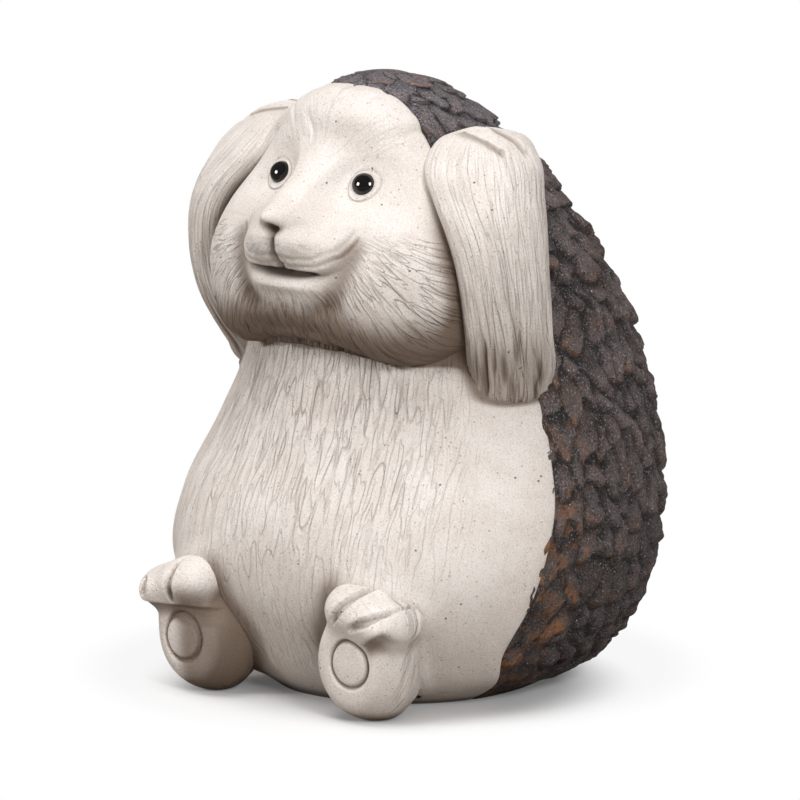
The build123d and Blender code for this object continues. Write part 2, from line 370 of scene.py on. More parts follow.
# body: rows by height, each half width, front reach, back reach, widest line and fullness
body = dict(
    height=309.0, halfWidth=120.0, front=114.0, back=127.0, wall=13.0,
    rise=[0, 0.035, 0.10, 0.20, 0.31, 0.42, 0.535, 0.65, 0.75, 0.84, 0.915, 0.965, 0.99, 1],
    breadth=[0.53, 0.73, 0.89, 1, 1, 0.945, 0.868, 0.785, 0.68, 0.55, 0.42, 0.30, 0.18, 0.08],
    frontShare=[0.67, 0.77, 0.88, 0.99, 0.975, 0.845, 0.745, 0.67, 0.58, 0.52, 0.49, 0.48, 0.43, 0.37],
    backShare=[0.54, 0.71, 0.85, 0.94, 1, 1, 0.935, 0.81, 0.645, 0.46, 0.27, 0.10, -0.04, -0.15],
    middle=[-0.08, -0.03, -0.02, 0, 0.03, 0.05, 0.06, 0.04, 0, -0.06, -0.14, -0.20, -0.23, -0.24],
    power=[2.155, 2.227, 2.341, 2.424, 2.18, 1.8, 1.61, 1.797, 2, 2, 2, 2, 2, 2],
    seamShare=[-0.18, -0.27, -0.44, -0.40, -0.26, -0.19, -0.22, -0.35, -0.48, -0.53],
    seamRise=[-0.05, 0, 0.10, 0.20, 0.34, 0.50, 0.64, 0.80, 0.97, 1.10],
)


def bodyLevel(z):
    rise = z / body["height"]
    half = body["halfWidth"] * through(body["rise"], body["breadth"], rise)
    front = -body["front"] * through(body["rise"], body["frontShare"], rise)
    back = body["back"] * through(body["rise"], body["backShare"], rise)
    middle = body["back"] * through(body["rise"], body["middle"], rise)
    return half, front, back, middle, through(body["rise"], body["power"], rise)


# horizontal radius of the body about its widest line: a superellipse in front, an ellipse behind
def bodyRadius(z, angle):
    half, front, back, middle, power = bodyLevel(z)
    deep = np.where(np.sin(angle) < 0, middle - front, back - middle)
    power = np.where(np.sin(angle) < 0, power, 2.0)
    side = np.abs(np.cos(angle) / half) ** power + np.abs(np.sin(angle) / deep) ** power
    return side ** (-1 / power)


# the angle at which the seam crosses each level, on the +X side
def seamAngle(z):
    half, front, back, middle, power = bodyLevel(z)
    y = body["front"] * through(body["seamRise"], body["seamShare"], z / body["height"])
    share = np.clip((middle - y) / (middle - front), 0, 1)
    return np.arctan2(np.minimum(y - middle, 0), half * (1 - share ** power) ** (1 / power) + 1e-6)


# angles from the seam on the +X side to the other one, round the front (way -1) or the back (way 1)
def seamToSeam(edge, columns, way):
    share = np.linspace(0, 1, columns)[None]
    return edge + way * share * (math.pi - way * 2 * edge)


# heights of rows spaced evenly along a profile, and the length along it at each
def spacedHeights(top, depth, rows, weight):
    z = np.linspace(0, top, 3000)
    y = depth(z)
    step = np.hypot(np.diff(z), np.diff(y)) * weight(0.5 * (z[1:] + z[:-1]))
    length = np.concatenate([[0], np.cumsum(step)])
    at = np.linspace(0, length[-1], rows)
    return np.interp(at, length, z), at


# points on the body's skin, raised by a height along the radius
def sheetPoints(z, angle, rise):
    radius = bodyRadius(z, angle) + rise
    middle = bodyLevel(z)[3]
    return np.stack([radius * np.cos(angle), middle + radius * np.sin(angle), z + 0 * radius], -1)


# the inner side of a shell, one wall in from the skin, or less where the body is narrow
def innerSheet(z, angle):
    return sheetPoints(z, angle, -np.minimum(body["wall"], 0.6 * bodyRadius(z, angle)))


# a shell from an outer and a coarse inner sheet: each row is a closed loop, the ends closed by one face
def shellPoints(outer, inner):
    ring = np.concatenate([outer, inner[:, ::-1]], 1)
    rows, loop = ring.shape[:2]
    index = np.arange(rows * loop).reshape(rows, loop)
    faces = quads(np.concatenate([index, index[:, :1]], 1))
    return ring.reshape(-1, 3), faces, [index[0][::-1].tolist(), index[-1].tolist()]


# marks of a shell: the outer sheet's values, and none inside
def shellMarks(marks, extra):
    return {key: np.concatenate([v, np.zeros((len(v), extra))], 1) for key, v in marks.items()}


# head: rows by height, with the face's features added further on
head = dict(
    base=176.0, height=128.0, half=79.0, seat=-48.0, depth=55.0, sink=22.0,
    rise=[-0.005, 0, 0.03, 0.09, 0.19, 0.30, 0.41, 0.52, 0.67, 0.84, 0.94, 0.98, 1, 1.004],
    breadth=[0.05, 0.30, 0.62, 0.85, 0.97, 1, 0.98, 0.91, 0.74, 0.54, 0.40, 0.26, 0.12, 0.02],
    deep=[0.05, 0.42, 0.74, 0.90, 0.97, 1, 0.94, 0.80, 0.55, 0.43, 0.34, 0.24, 0.12, 0.02],
    power=[2, 2, 2.1, 2.3, 2.45, 2.45, 2.4, 2.3, 2.2, 2.1, 2, 2, 2, 2],
    castFrom=(0.0, -55.0, 236.0), far=150.0, side=270, reach=math.radians(112), rings=12,
    strokes=dict(lane=3.6, length=19.0, seed=51), strokeDepth=0.9,
    crest=dict(lane=7.0, length=70.0, seed=57), crestDepth=2.2,
)


# signed gap to the head's plain form, a superellipse at each height, below zero inside
def headGap(x, y, z):
    rise = (z - head["base"]) / head["height"]
    half = head["half"] * through(head["rise"], head["breadth"], rise)
    deep = through(head["rise"], head["deep"], rise)
    deep = np.where(y < head["seat"], head["depth"], head["sink"]) * deep
    power = through(head["rise"], head["power"], rise)
    share = np.abs(x / half) ** power + np.abs((y - head["seat"]) / deep) ** power
    gap = (share ** (1 / power) - 1) * np.minimum(half, deep)
    over = np.maximum(np.maximum(head["base"] - z, z - head["base"] - head["height"]), 0)
    return gap + 2 * over


# how much lower the cheeks hang than the chin
def sag(x):
    return 9.0 * ramp(22, 55, np.abs(x)) - 3.0 * bell(x, 22)


# arm on the +X side: rows by share of its length, with centre and half sizes
arm = dict(
    top=288.0, length=141.0, out=92.0, front=-44.0, halfBreadth=27.0, halfThick=18.0,
    turn=math.radians(20), rows=210, columns=180, cap=0.035,
    share=[0, 0.03, 0.09, 0.235, 0.5, 0.7, 0.87, 0.96, 1],
    outShare=[0.70, 0.73, 0.79, 0.91, 1, 0.98, 0.90, 0.86, 0.84],
    frontShare=[0.58, 0.62, 0.73, 0.95, 1, 0.86, 0.61, 0.52, 0.48],
    breadth=[0.34, 0.70, 0.94, 1, 0.89, 0.85, 0.81, 0.66, 0.32],
    thick=[0.32, 0.66, 0.93, 1, 0.97, 0.97, 0.98, 0.78, 0.34],
    longStrokes=dict(lane=4.6, length=60.0, seed=71), shortStrokes=dict(lane=3.4, length=34.0, seed=83),
    tufts=dict(lane=5.0, length=46.0, seed=97), strokeDepth=0.8, tuftDepth=2.0,
    fingerLines=[[(-17, 0), (-9, 4), (-1, 10)], [(3, 1), (9, 5), (14, 11)]],
    fingerWidth=1.5, fingerDepth=3.8, templeCurl=10.0,
)


def armLevel(share):
    keys = ("outShare", "frontShare", "breadth", "thick")
    out, front, breadth, thick = (through(arm["share"], arm[k], share) for k in keys)
    end = np.clip(np.minimum(share / arm["cap"], (1 - share) / (2 * arm["cap"])), 0.004, 1)
    blunt = np.sqrt(1 - (1 - end) ** 2)
    breadth, thick = breadth * blunt, thick * blunt
    return out * arm["out"], front * arm["front"], breadth * arm["halfBreadth"], thick * arm["halfThick"]


# gap to the arm on either side, zero inside: an ellipse at each height
def armGap(x, y, z):
    share = (arm["top"] - z) / arm["length"]
    out, front, breadth, thick = armLevel(np.clip(share, 0, 1))
    dx, dy = np.abs(x) - out, y - front
    b = dx * math.sin(arm["turn"]) + dy * math.cos(arm["turn"])
    t = dx * math.cos(arm["turn"]) - dy * math.sin(arm["turn"])
    gap = (np.hypot(b / breadth, t / thick) - 1) * np.minimum(breadth, thick)
    return np.maximum(gap, 0) + np.maximum(-share, share - 1).clip(0) * arm["length"]


# foot on the +X side: instep, narrower behind, and three toes as stretched balls, cut by the sole
foot = dict(
    castFrom=(55.0, -92.0, 41.0), far=90.0, side=190, reach=math.radians(120), rings=10,
    solePlane=-117.5, soleRound=2.0, heel=(-102.0, -74.0), heelSqueeze=0.4, blend=3.2,
    instep=dict(centre=(53.0, -92.0, 30.0), radii=(28.0, 34.0, 31.0)),
    toes=[
        dict(centre=(48.5, -104.0, 58.0), radii=(12.0, 18.5, 12.0)),
        dict(centre=(61.0, -105.0, 55.5), radii=(11.5, 18.5, 11.5)),
        dict(centre=(75.0, -105.0, 50.5), radii=(11.0, 19.0, 11.0)),
    ],
    strokes=dict(lane=4.2, length=22.0, seed=33), strokeDepth=0.5,
    discSide=55.0, discRadius=11.7, discDome=1.2, ringDepth=2.0,
    cleftHalf=2.7, cleftDepth=3.2, lobeDepth=1.4,
)

# what differs between the feet: the clefts between the toes, the toes' lower edge, the disc and the painted
# shade on the toes
feet = dict(
    leftFoot=dict(
        node="left_foot", way=1, discLevel=31.0, toeShade=0.0, lobe=((65.0, 43.2), (80.0, 51.5)),
        clefts=[((46.5, 49.6), (65.0, 73.0)), ((58.5, 48.5), (81.0, 61.0))],
    ),
    rightFoot=dict(
        node="right_foot", way=-1, discLevel=29.0, toeShade=0.75, lobe=((38.0, 46.5), (82.0, 45.5)),
        clefts=[((58.5, 46.0), (58.8, 69.0)), ((76.0, 46.0), (77.0, 58.0))],
    ),
)


def ballGap(points, ball):
    share = (points - np.array(ball["centre"])) / np.array(ball["radii"])
    size = np.linalg.norm(share, axis=-1)
    return (size - 1) * min(ball["radii"])


# smooth union: minus the log of the summed falling exponentials of the gaps
def joinGaps(gaps, blend):
    return -blend * np.log(np.exp(-np.clip(gaps / blend, -60, 60)).sum(0))


# signed gap to the foot: the instep cut by the sole, joined with the toes, and level with the floor
def footGap(points):
    squeeze = 1 - foot["heelSqueeze"] * ramp(*foot["heel"], points[..., 1])
    middle = foot["instep"]["centre"][0]
    narrow = np.stack([middle + (points[..., 0] - middle) / squeeze, points[..., 1], points[..., 2]], -1)
    beyond = foot["solePlane"] - points[..., 1]
    instep = -joinGaps(-np.stack([ballGap(narrow, foot["instep"]), beyond]), foot["soleRound"])
    toes = [ballGap(points, toe) for toe in foot["toes"]]
    return np.maximum(joinGaps(np.stack([instep, *toes]), foot["blend"]), -points[..., 2])


# belly: the front of the body, carved with mostly upright strokes
belly = dict(
    rows=235, columns=300, inner=20, top=296.0, neck=200.0, hiddenRows=0.25, evenWidth=130.0,
    longStrokes=dict(lane=5.2, length=44.0, seed=11), shortStrokes=dict(lane=4.0, length=26.0, seed=23),
    shortShare=0.7, slant=0.06, strokeDepth=0.8, lumpDepth=0.9, footFillet=2.5, armFillet=1.5, seamDip=0.8,
    drain=(53.0, -65.0, 6.0), drainDepth=4.0,
)


def makeBelly():
    rowZ = spacedHeights(
        belly["top"], lambda z: bodyLevel(z)[1], belly["rows"],
        lambda z: np.where(z < belly["neck"], 1.0, belly["hiddenRows"]),
    )[0]
    z = rowZ[:, None]
    edge = seamAngle(z)
    angle = seamToSeam(edge, belly["columns"], -1)
    share = np.linspace(0, 1, belly["columns"])[None]
    plain = sheetPoints(z, angle, 0.0)
    x, y = plain[..., 0], plain[..., 1]
    high = z + 0 * x

    # strokes: laid by the distance across each row, closer together on the short rows, none by the seams
    step = np.linalg.norm(np.diff(plain, axis=1, prepend=plain[:, :1]), axis=-1)
    across = np.cumsum(step, 1)
    across = (across - 0.5 * across[:, -1:]) * (belly["evenWidth"] / across[:, -1:]) ** 0.6
    strokes = furStrokes(across, high, **belly["longStrokes"])
    short = furStrokes(across + belly["slant"] * z, high, **belly["shortStrokes"])
    smooth = ramp(0.04, 0.34, share) * ramp(0.03, 0.2, 1 - share)
    fur = smooth * (0.4 + 0.6 * ramp(60, 150, z)) * ramp(6, 26, z) + 0 * x
    strokes = np.maximum(strokes, belly["shortShare"] * short) * fur

    # painted shade, with the brown wash: under the chin, round the arms, between the feet, along the floor
    # and in the drain
    nearHead = np.maximum(headGap(x, y, z + sag(x)), 0)
    nearArm = np.maximum(armGap(x, y, z), 0)
    nearFoot = np.maximum(footGap(np.stack([np.abs(x), y, high], -1)), 0)
    bore = np.linalg.norm(plain - np.array(belly["drain"]), axis=-1)
    between = ramp(54, 34, np.abs(x))
    shade = 0.8 * bell(nearHead, 5.0) + 0.8 * bell(nearArm, 4.0)
    shade = shade + 1.5 * bell(nearHead, 13.0) * bell(nearArm, 13.0)
    shade = shade + between * (0.75 * bell(nearFoot, 8.0) + 0.25 * ramp(85, 30, high))
    shade = shade + 0.7 * bell(high, 4.0) + 2.0 * ramp(3.2, 2.4, bore)

    awayFromSeam = ramp(0.02, 0.08, np.minimum(share, 1 - share))
    rise = belly["footFillet"] * bell(nearFoot, 5.0) + belly["armFillet"] * bell(nearArm, 5.0) * awayFromSeam
    rise = rise + belly["lumpDepth"] * (drift(x / 16, z / 22, 5) - 0.5) - belly["strokeDepth"] * strokes
    rise = rise - belly["seamDip"] * bell(share, 0.01) - belly["drainDepth"] * ramp(3.0, 2.0, bore)
    inner = innerSheet(z, seamToSeam(edge, belly["inner"], -1))
    points, faces, caps = shellPoints(sheetPoints(z, angle, rise), inner)
    marks = dict(
        carve=strokes, crease=np.clip(shade, 0, 1), fur=fur, flowAcross=across, flowAlong=1.7 * high,
    )
    marks = shellMarks(marks, belly["inner"])
    addPiece("bellyStone", points, faces, caps, marks, stone, "belly_shell")


# coat: the back of the body under unequal, down-pointing scales
coat = dict(
    rows=330, columns=275, inner=16, pitch=18.5, width=12.5, fewest=6, lift=6.0, skin=0.4,
    sideJitter=0.75, downJitter=0.8, lean=0.9, bulk=(0.8, 0.5),
    strands=dict(lane=3.4, length=14.0, seed=37), strandDepth=1.0, roughHeight=1.6,
    seamDepth=1.6, dowelLevel=155.0, dowelCover=3.6,
    crown=(0.8, 0.6, 0.4, 0.2, 0.04), crownRise=1.5, crownWall=8.0,
)


# scales: each point belongs to the nearest middle of a staggered, jittered grid of unequal lumps; a lump
# rises from its root to a thick lower tip and falls away at its border, where the next middle is as near
def scaleRelief(angle, along, girthAlong, girth):
    first = np.full(angle.shape, 9.0)
    second = np.full(angle.shape, 9.0)
    tilt = np.zeros_like(angle)
    luck = np.zeros_like(angle)
    for stepRow in (-2, -1, 0, 1, 2):
        row = np.floor(along / coat["pitch"]) + stepRow
        around = np.interp((row + 0.5) * coat["pitch"], girthAlong, girth)
        count = np.maximum(np.round(around / coat["width"]), coat["fewest"])
        place = angle / (2 * math.pi) * count + 0.5 * row + 0.3 * chance(row, 0, 1)
        for stepColumn in (-2, -1, 0, 1, 2):
            column = np.floor(place) + stepColumn
            aside = coat["sideJitter"] * (chance(column, row, 2) - 0.5)
            down = coat["downJitter"] * (chance(column, row, 3) - 0.5)
            a = (place - column - 0.5 + aside) * around / count
            b = along - (row + 0.5 + down) * coat["pitch"]
            lean = coat["lean"] * (chance(column, row, 5) - 0.5)
            bulk = coat["bulk"][0] + coat["bulk"][1] * chance(column, row, 4)
            wide = (a * np.cos(lean) + b * np.sin(lean)) / coat["width"]
            tall = (b * np.cos(lean) - a * np.sin(lean)) / coat["pitch"]
            gap = np.sqrt((wide * (1 - 0.25 * tall)) ** 2 + (0.8 * tall) ** 2) / bulk
            nearest = gap < first
            second = np.where(nearest, first, np.minimum(second, gap))
            first = np.where(nearest, gap, first)
            tilt = np.where(nearest, tall, tilt)
            luck = np.where(nearest, chance(column, row, 6), luck)
    border = second - first
    lump = ramp(-0.03, 0.42, border) ** 0.6
    relief = lump * (0.5 + 0.35 * luck + 0.7 * np.clip(0.1 - tilt, -0.4, 0.5))
    rub = (0.3 + 0.7 * (luck > 0.5)) * ramp(0.1, -0.45, tilt) * ramp(0.03, 0.15, border)
    # the third value is a painted shadow along each scale's lower border, under its tip
    return relief, rub, ramp(0.13, 0.0, border) * ramp(0.5, -0.1, tilt)


def makeCoat():
    rowZ, rowLength = spacedHeights(body["height"], lambda z: bodyLevel(z)[2], coat["rows"], np.ones_like)
    z = rowZ[:, None]
    ragged = 2.0 * drift(rowLength / 6, 0 * rowLength, 61) + 1.2 * drift(rowLength / 2.3, 0 * rowLength, 62)
    edge = seamAngle(z) - (ragged[:, None] * ramp(12, 30, z) * ramp(290, 260, z)) / 110
    angle = seamToSeam(edge, coat["columns"], 1)
    half, front, back = bodyLevel(rowZ)[:3]
    girth = math.pi * (half + 0.5 * (back - front))
    along = rowLength[:, None] + 0 * angle
    spread = angle * girth[:, None] / (2 * math.pi)
    share = np.linspace(0, 1, coat["columns"])[None]
    fromSeam = np.minimum(share, 1 - share) * girth[:, None] * 0.5

    # the grid of scales is pushed about by noise, so that no course runs straight
    slide = 8 * drift(spread / 13, along / 14, 41) + 4 * drift(spread / 5, along / 6, 42) - 6
    climb = 9 * drift(spread / 14, along / 13, 43) + 4 * drift(spread / 6, along / 5, 44) - 6.5
    turned = angle + slide * 2 * math.pi / np.maximum(girth[:, None], 160)
    relief, rub, gaps = scaleRelief(turned, along + climb, rowLength, girth)
    rough = drift(spread / 5.2, along / 6.4, 8) + 0.6 * drift(spread / 2.2, along / 2.6, 9) - 0.8
    rise = coat["lift"] * (relief - 1.0) + coat["roughHeight"] * rough
    rise = rise - coat["strandDepth"] * furStrokes(spread, along, **coat["strands"])

    # shallower by the seam and the floor, where dowels and plate lie close under the skin
    nearDowel = bell(z - coat["dowelLevel"], 10.0) * ramp(16, 10, fromSeam)
    free = ramp(15, 26, fromSeam) * ramp(8, 20, z)
    lowest = coat["dowelCover"] * nearDowel - coat["seamDepth"] - coat["lift"] * free
    settle = ramp(0, 7, along) * ramp(rowLength[-1], rowLength[-1] - 10, along)
    outer = sheetPoints(z, angle, settle * np.maximum(rise, lowest) + coat["skin"])
    inner = innerSheet(z, seamToSeam(edge, coat["inner"], 1))

    # crown: the top row drawn in to a peak, outside and inside
    crown = np.array(coat["crown"])[:, None, None]
    peak = outer[-1].mean(0) + np.array([0, 0, coat["crownRise"]])
    under = peak - np.array([0, 0, coat["crownWall"]])
    outer = np.concatenate([outer, peak + (outer[-1] - peak) * crown])
    inner = np.concatenate([inner, under + (inner[-1] - peak) * crown * 0.5])
    points, faces, caps = shellPoints(outer, inner)

    nearSeam = ramp(34, 12, fromSeam)
    # painted shade: the gap mark darker towards the floor
    gaps = np.maximum(gaps, 0.4 * ramp(150, 40, z))
    brush = rub * (0.3 + 0.9 * nearSeam) + 0.5 * nearSeam * ramp(190, 90, z) * ramp(0.7, 0.3, gaps)
    # pale: painted light on the crown
    marks = dict(
        brush=np.clip(brush, 0, 1), gap=gaps, high=relief, pale=ramp(225, 295, z) + 0 * rub,
        flowAcross=spread, flowAlong=along,
    )
    marks = {key: np.concatenate([v, np.repeat(v[-1:], len(crown), 0)]) for key, v in marks.items()}
    marks = shellMarks(marks, coat["inner"])
    addPiece("quillCoat", points, faces, caps, marks, coatMaterial, "quill_coat")


makeBelly()
makeCoat()


# a round grid of directions about -Y: a square grid folded to a disc, then rings to the far pole
def discDirections(side, reach, rings):
    a, b = np.meshgrid(np.linspace(-1, 1, side), np.linspace(-1, 1, side), indexing="ij")
    wide = np.abs(a) > np.abs(b)
    radius = np.where(wide, a, b)
    safe = np.where(np.abs(radius) < 1e-9, 1e-9, radius)
    turn = np.where(wide, math.pi / 4 * b / safe, math.pi / 2 - math.pi / 4 * a / safe)
    around = np.where(radius < 0, turn + math.pi, turn)
    last = side - 1
    out, home = np.arange(last), np.arange(last, 0, -1)
    near, far = np.zeros(last, int), np.full(last, last)
    edgeA = np.concatenate([out, far, home, near])
    edgeB = np.concatenate([near, out, far, home])
    rim = around[edgeA, edgeB]
    tilts = np.linspace(reach, math.pi, rings + 2)[1:-1]
    rimTilt, rimAround = np.meshgrid(tilts, rim, indexing="ij")

    def toward(tilt, around):
        flat = np.sin(tilt)
        return np.stack([flat * np.cos(around), -np.cos(tilt), flat * np.sin(around)], -1)

    index = np.arange(side * side).reshape(side, side)
    rimIndex = side * side + np.arange(rings * len(rim)).reshape(rings, len(rim))
    bands = np.concatenate([index[edgeA, edgeB][None], rimIndex])
    bands = np.concatenate([bands, bands[:, :1]], 1)
    faces = np.concatenate([quads(index), quads(bands)[:, ::-1]])
    return toward(np.abs(radius) * reach, around), toward(rimTilt, rimAround), faces, [rimIndex[-1].tolist()]


# how far along each direction the surface lies, by halving between inside and outside
def cast(centre, ways, gap, far):
    low = np.zeros(ways.shape[:-1])
    high = np.full(ways.shape[:-1], far)
    for turn in range(32):
        half = 0.5 * (low + high)
        outside = gap(np.array(centre) + half[..., None] * ways) > 0
        high = np.where(outside, half, high)
        low = np.where(outside, low, half)
    return np.array(centre) + low[..., None] * ways


# a cast piece: its front grid with outward normals, the rings behind, and the faces of both
def castPiece(piece, gap):
    ways, rimWays, faces, caps = discDirections(piece["side"], piece["reach"], piece["rings"])
    plain = cast(piece["castFrom"], ways, gap, piece["far"])
    rim = cast(piece["castFrom"], rimWays, gap, piece["far"])
    normal = np.cross(np.gradient(plain, axis=0), np.gradient(plain, axis=1))
    normal = normal / (np.linalg.norm(normal, axis=-1, keepdims=True) + 1e-9)
    normal = normal * np.sign(np.einsum("ijk,ijk->ij", normal, ways))[..., None]
    return plain, normal, rim, faces, caps


# points and marks of a cast piece in one list: the front grid, then the rings behind, which have no marks
def withRings(shaped, rim, marks):
    points = np.concatenate([shaped.reshape(-1, 3), rim.reshape(-1, 3)])
    tail = np.zeros(rim.size // 3)
    return points, {key: np.concatenate([values.ravel(), tail]) for key, values in marks.items()}


# face: heights in millimetres added to the plain head, from the front view's x and z
face = dict(
    nose=248.0, snout=36.0, snoutRoot=36.0, lip=(19.0, 231.5), lipRadii=(19.5, 13.0), lipRise=5.5,
    lipEdge=[(0.0, 220.5), (10.0, 219.0), (23.0, 219.5), (35.0, 226.0), (41.0, 236.0)], underDepth=1.6,
    crease=[(36.5, 230.0), (35.0, 224.0), (32.0, 215.0), (27.0, 206.0), (22.5, 199.0)], creaseDepth=3.6,
    philtrumDepth=4.5,
    noseTip=dict(level=248.5, radii=(8.0, 4.2), rise=2.0),
    hollow=dict(level=241.5, radii=(5.6, 2.6), rise=-8.0),
    mouth=dict(level=217.8, radii=(23.0, 2.8), rise=-8.0, bow=0.004),
    lowerLip=dict(level=212.0, radii=(20.0, 4.0), rise=3.6),
    chin=dict(level=203.0, radii=(27.0, 18.0), rise=2.0),
    eye=(27.0, 261.0), beadRadius=6.0, lidLevel=1.1, lidRim=6.6, lidLine=7.4, eyeEase=(20.0, 8.5),
    muzzle=236.0,
)


# squared distance from a feature's middle in shares of its radii
def featureGap(x, z, feature):
    return (x / feature["radii"][0]) ** 2 + ((z - feature["level"]) / feature["radii"][1]) ** 2


# height of the features, and how dark the brown wash and painted shade lie on them
def faceRise(x, z, eyeRise):
    ax = np.abs(x)
    reach = np.sqrt(x ** 2 + (z - face["nose"]) ** 2 + 30)
    snout = face["snout"] * np.clip(1 - reach / face["snoutRoot"], 0, 1) ** 1.6

    # upper lips: two leaves, sharp at the mouth and easing into the cheeks, with folds along their edge
    (lipSide, lipLevel), (lipHalf, lipHigh) = face["lip"], face["lipRadii"]
    q = ((ax - lipSide) / lipHalf) ** 2 + ((z - lipLevel) / lipHigh) ** 2
    soft = 0.5 + 1.2 * ramp(229, 240, z) + 1.0 * ramp(22, 36, ax)
    lips = face["lipRise"] * np.clip(1 - q, 0, 1) ** soft
    rim = lineGap(ax, z, face["lipEdge"])
    leaf = ramp(1.25, 0.9, q) * ramp(219, 222, z)
    folds = leaf * (0.9 * bell(rim - 4.0, 0.9) + 0.6 * bell(rim - 8.0, 1.1))
    philtrum = bell(x, 2.0) * ramp(216, 222, z) * ramp(246, 242, z)
    under = bell(np.maximum(rim - 1.0, 0), 1.6) * ramp(33, 20, ax)
    under = under * ramp(222, 219, z - 0.35 * np.maximum(ax - 22, 0))

    noseTip = np.exp(-featureGap(x, z, face["noseTip"]))
    hollow = np.exp(-featureGap(x, z, face["hollow"]))
    lowerLip = np.exp(-featureGap(x, z, face["lowerLip"]))
    mouth = np.clip(1 - featureGap(x, z - face["mouth"]["bow"] * x * x, face["mouth"]), 0, 1)
    chin = np.clip(1 - featureGap(x, z, face["chin"]), 0, 1) ** 0.7
    crease = bell(lineGap(ax, z, face["crease"]), 7.5) * ramp(192, 206, z)
    rise = snout + lips - folds - face["philtrumDepth"] * philtrum
    rise = rise - face["underDepth"] * under - face["creaseDepth"] * crease
    shapes = dict(noseTip=noseTip, hollow=hollow, lowerLip=lowerLip, mouth=mouth, chin=chin)
    for name, shape in shapes.items():
        rise = rise + face[name]["rise"] * shape

    # lids: a flat patch round each bead with a low rim and an egg-shaped line
    dx, dz = ax - face["eye"][0], z - face["eye"][1]
    eyeGap = np.hypot(dx, dz)
    lidLine = np.hypot((dx - 0.8 - 0.1 * dz) / 1.14, dz + 0.08 * dx) - face["lidLine"]
    lid = eyeRise + 0.5 * bell(eyeGap - face["lidRim"], 0.8) - 0.8 * bell(lidLine, 0.5)
    near = ramp(*face["eyeEase"], eyeGap)
    rise = rise * (1 - near) + lid * near
    # painted shade with the brown wash: philtrum, nostril, mouth, under the lip edge, smile crease, lid
    # line, folds, and below the lower lip
    faceWashAndShade = 0.7 * philtrum + hollow + mouth + 0.5 * under + 0.65 * crease + 0.5 * bell(lidLine, 0.45)
    faceWashAndShade = faceWashAndShade + 0.35 * folds + 0.5 * ramp(214, 194, z)
    return rise, np.clip(faceWashAndShade, 0, 1)


# strokes that radiate from the muzzle: across is the turn about it and along the distance from it
def faceFlow(x, z):
    r = np.hypot(x, z - face["muzzle"])
    turn = np.arctan2(z - face["muzzle"], np.abs(x)) + 0.006 * (r - 30)
    cheeks = ramp(34, 46, r) * ramp(246, 224, z)
    brow = 0.22 * ramp(266, 280, z)
    lips = 0.3 * ramp(26, 18, r) * ramp(238, 232, z) + 0.8 * ramp(20, 27, r) * ramp(213, 207, z)
    return turn * 52 * np.sign(x + 1e-9), r, np.clip(cheeks + brow + lips, 0, 1)


def makeHead():
    plain, normal, rim, faces, caps = castPiece(head, lambda p: headGap(p[..., 0], p[..., 1], p[..., 2]))
    x, y, z = plain[..., 0], plain[..., 1], plain[..., 2]
    forward = ramp(-45, -70, y)
    eyeBox = np.array([list(corner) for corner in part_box("left_eye")]) * 1000
    beadMiddle = eyeBox[0][1] + face["beadRadius"]
    skin = y.ravel()[np.argmin(np.hypot(x - face["eye"][0], z - face["eye"][1]))]
    print("eye: skin at", round(float(skin), 2), "bead middle at", round(float(beadMiddle), 2))
    rise, faceWashAndShade = faceRise(x, z, skin - beadMiddle + face["lidLevel"])
    across, along, fur = faceFlow(x, z)
    fur = fur * forward
    strokes = furStrokes(across, along, **head["strokes"]) * fur
    crest = (furStrokes(across, along, **head["crest"]) - 0.4) * ramp(278, 291, z) * ramp(-38, -50, y)
    carved = head["strokeDepth"] * strokes + head["crestDepth"] * crest

    # features stand straight out in front, strokes go in along the normal
    shaped = plain + np.array([0.0, -1.0, 0.0]) * (rise * forward)[..., None] - normal * carved[..., None]
    nearArm = np.maximum(armGap(shaped[..., 0], shaped[..., 1], z), 0)
    # painted shade by the paws and under the chin
    faceWashAndShade = faceWashAndShade * forward + 0.9 * bell(nearArm, 6.0) * ramp(285, 262, z) + 0.7 * ramp(206, 184, z)
    marks = dict(
        carve=strokes, crease=np.clip(faceWashAndShade, 0, 1), fur=fur, flowAcross=1.2 * across, flowAlong=2.4 * along,
    )
    points, marks = withRings(shaped, rim, marks)
    points[:, 2] -= sag(points[:, 0]) * ramp(222, 184, points[:, 2])
    addPiece("headStone", points, faces, caps, marks, stone, "head_shell")


